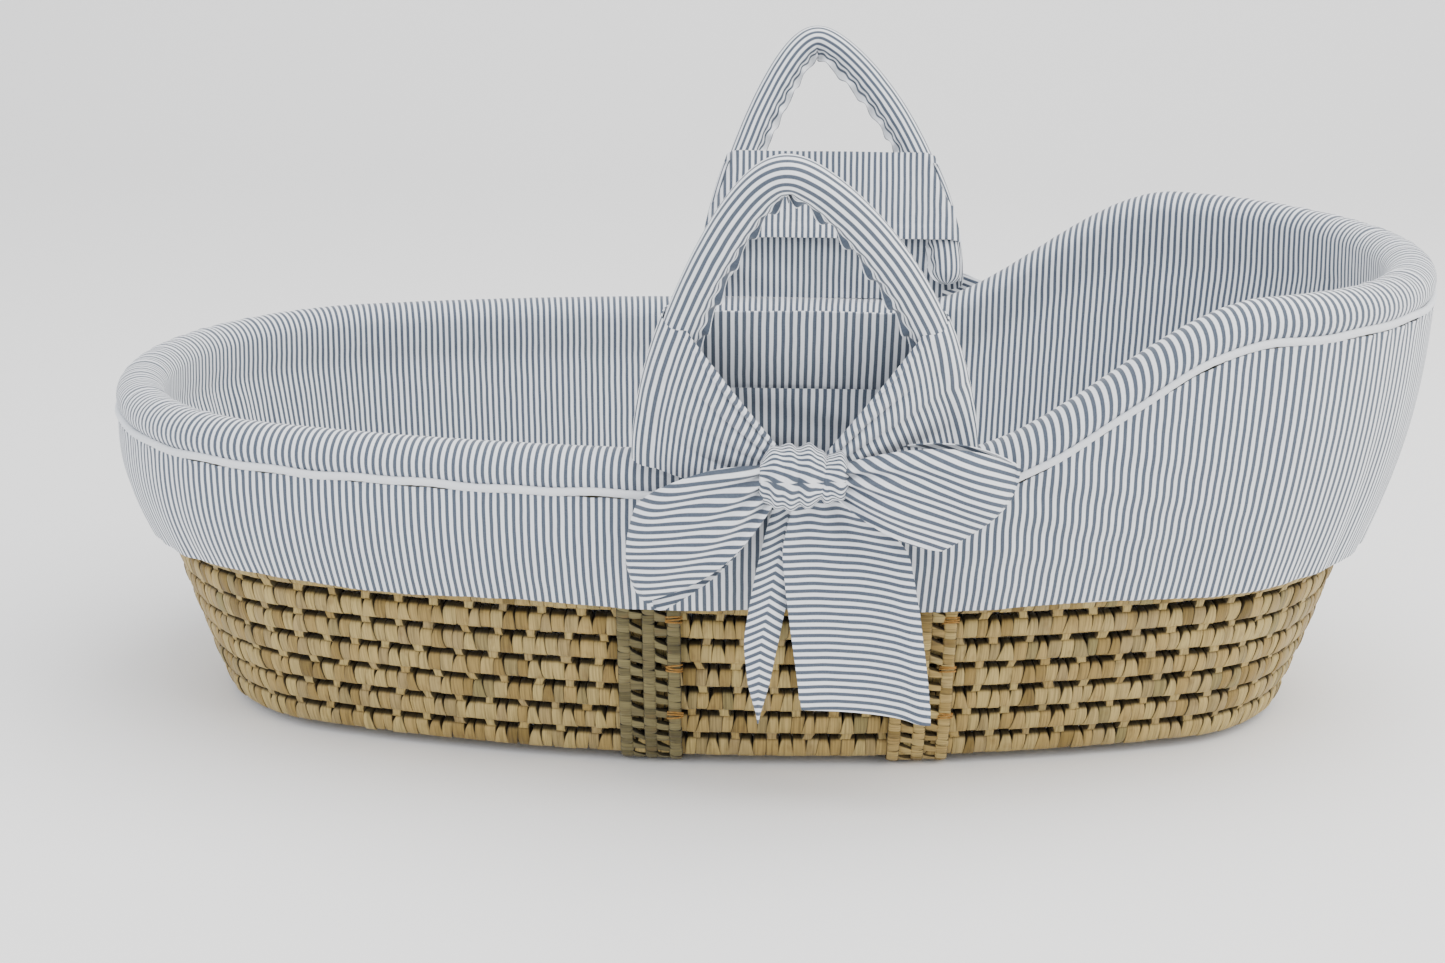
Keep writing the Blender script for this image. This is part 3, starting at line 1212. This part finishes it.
strawPalm = hiddenPalm("hiddenStrawPalm", "#A8946A", "#7C6B48")
elasticBand = plainCloth("whiteElasticBraid", "#E4E4E2", "#CFCFCD", 0.0012)
cushionFoam = plainCloth("creamUpholsteryFoam", "#E9E0C4", "#DDD3B4", 0.0016, 0.95)
ropeCotton = plainCloth("cottonRopeCore", "#E6E2D6", "#D3CEBF", 0.0015)
under = {"rim_wadding": whiteWadding, "hem_elastic": elasticBand, "mattress_core": cushionFoam,
         "pillow_filling": whiteWadding, "near_handle_rope": ropeCotton, "far_handle_rope": ropeCotton}
for node, piece in frame["nodes"].items():
    if node in under or node.startswith(("wall_row_09", "wall_row_1", "head_row", "rim_braid")):
        piece.data.materials.clear()
        piece.data.materials.append(under.get(node, strawPalm))

cushion = {"voxel": 0.006, "pressure": 4.0, "frames": 20, "reach": 0.004}


def puffCushion(name, node, body, material, slot, seamHeight):
    # a copy of the plain solid, filled like a bag so that its faces swell and its seam pulls in
    low, high = (Vector(corner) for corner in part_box(node))
    middle = (low + high) / 2
    piece = bpy.data.objects.new(name, frame["nodes"][node].data.copy())
    bpy.context.scene.collection.objects.link(piece)
    activate(piece)
    piece.data.remesh_voxel_size = cushion["voxel"]
    bpy.ops.object.voxel_remesh()
    before = np.array([v.co for v in piece.data.vertices])
    cloth = piece.modifiers.new("cloth", "CLOTH")
    cloth.settings.use_pressure = True
    cloth.settings.uniform_pressure_force = cushion["pressure"]
    cloth.settings.effector_weights.gravity = 0
    cloth.point_cache.frame_end = cushion["frames"]
    for number in range(1, cushion["frames"] + 1):
        bpy.context.scene.frame_set(number)
    activate(piece)
    bpy.ops.object.modifier_apply(modifier="cloth")
    bpy.context.scene.frame_set(1)
    after = np.array([v.co for v in piece.data.vertices])
    move = after - before
    distance = np.linalg.norm(move, axis=1, keepdims=True)
    after = before + move * np.minimum(1, cushion["reach"] / np.maximum(distance, 1e-9))
    after = np.clip(after, np.array(low) - 0.001, np.array(high) + 0.001)
    # a seam pulled in round the middle, with small gathers beside it
    away = np.abs(after[:, 2] - (low.z + (high.z - low.z) * seamHeight))
    pull = np.exp(-(away / 0.004) ** 2) * 0.0012
    outward = after[:, :2] - np.array(middle)[:2]
    outward /= np.maximum(np.linalg.norm(outward, axis=1, keepdims=True), 1e-6)
    after[:, :2] -= outward * pull[:, None]
    piece.data.vertices.foreach_set("co", after.astype(np.float32).ravel())
    piece.data.update()
    applyModifier(piece, "even", "SMOOTH", factor=0.5, iterations=3)
    applyModifier(piece, "fine", "SUBSURF", levels=1, render_levels=1)
    shadeSmooth(piece)
    finish(piece, body, material, slot, node)


pillowCotton = cottonMaterial("pillowCotton", "object", math.radians(90))
puffCushion("mattressCover", "mattress_cover", "mattress", whiteJersey, "white_jersey", 0.5)
puffCushion("pillowCover", "pillow_cover", "pillow", pillowCotton, "striped_cotton", 0.5)
print("mattress and pillow filled")
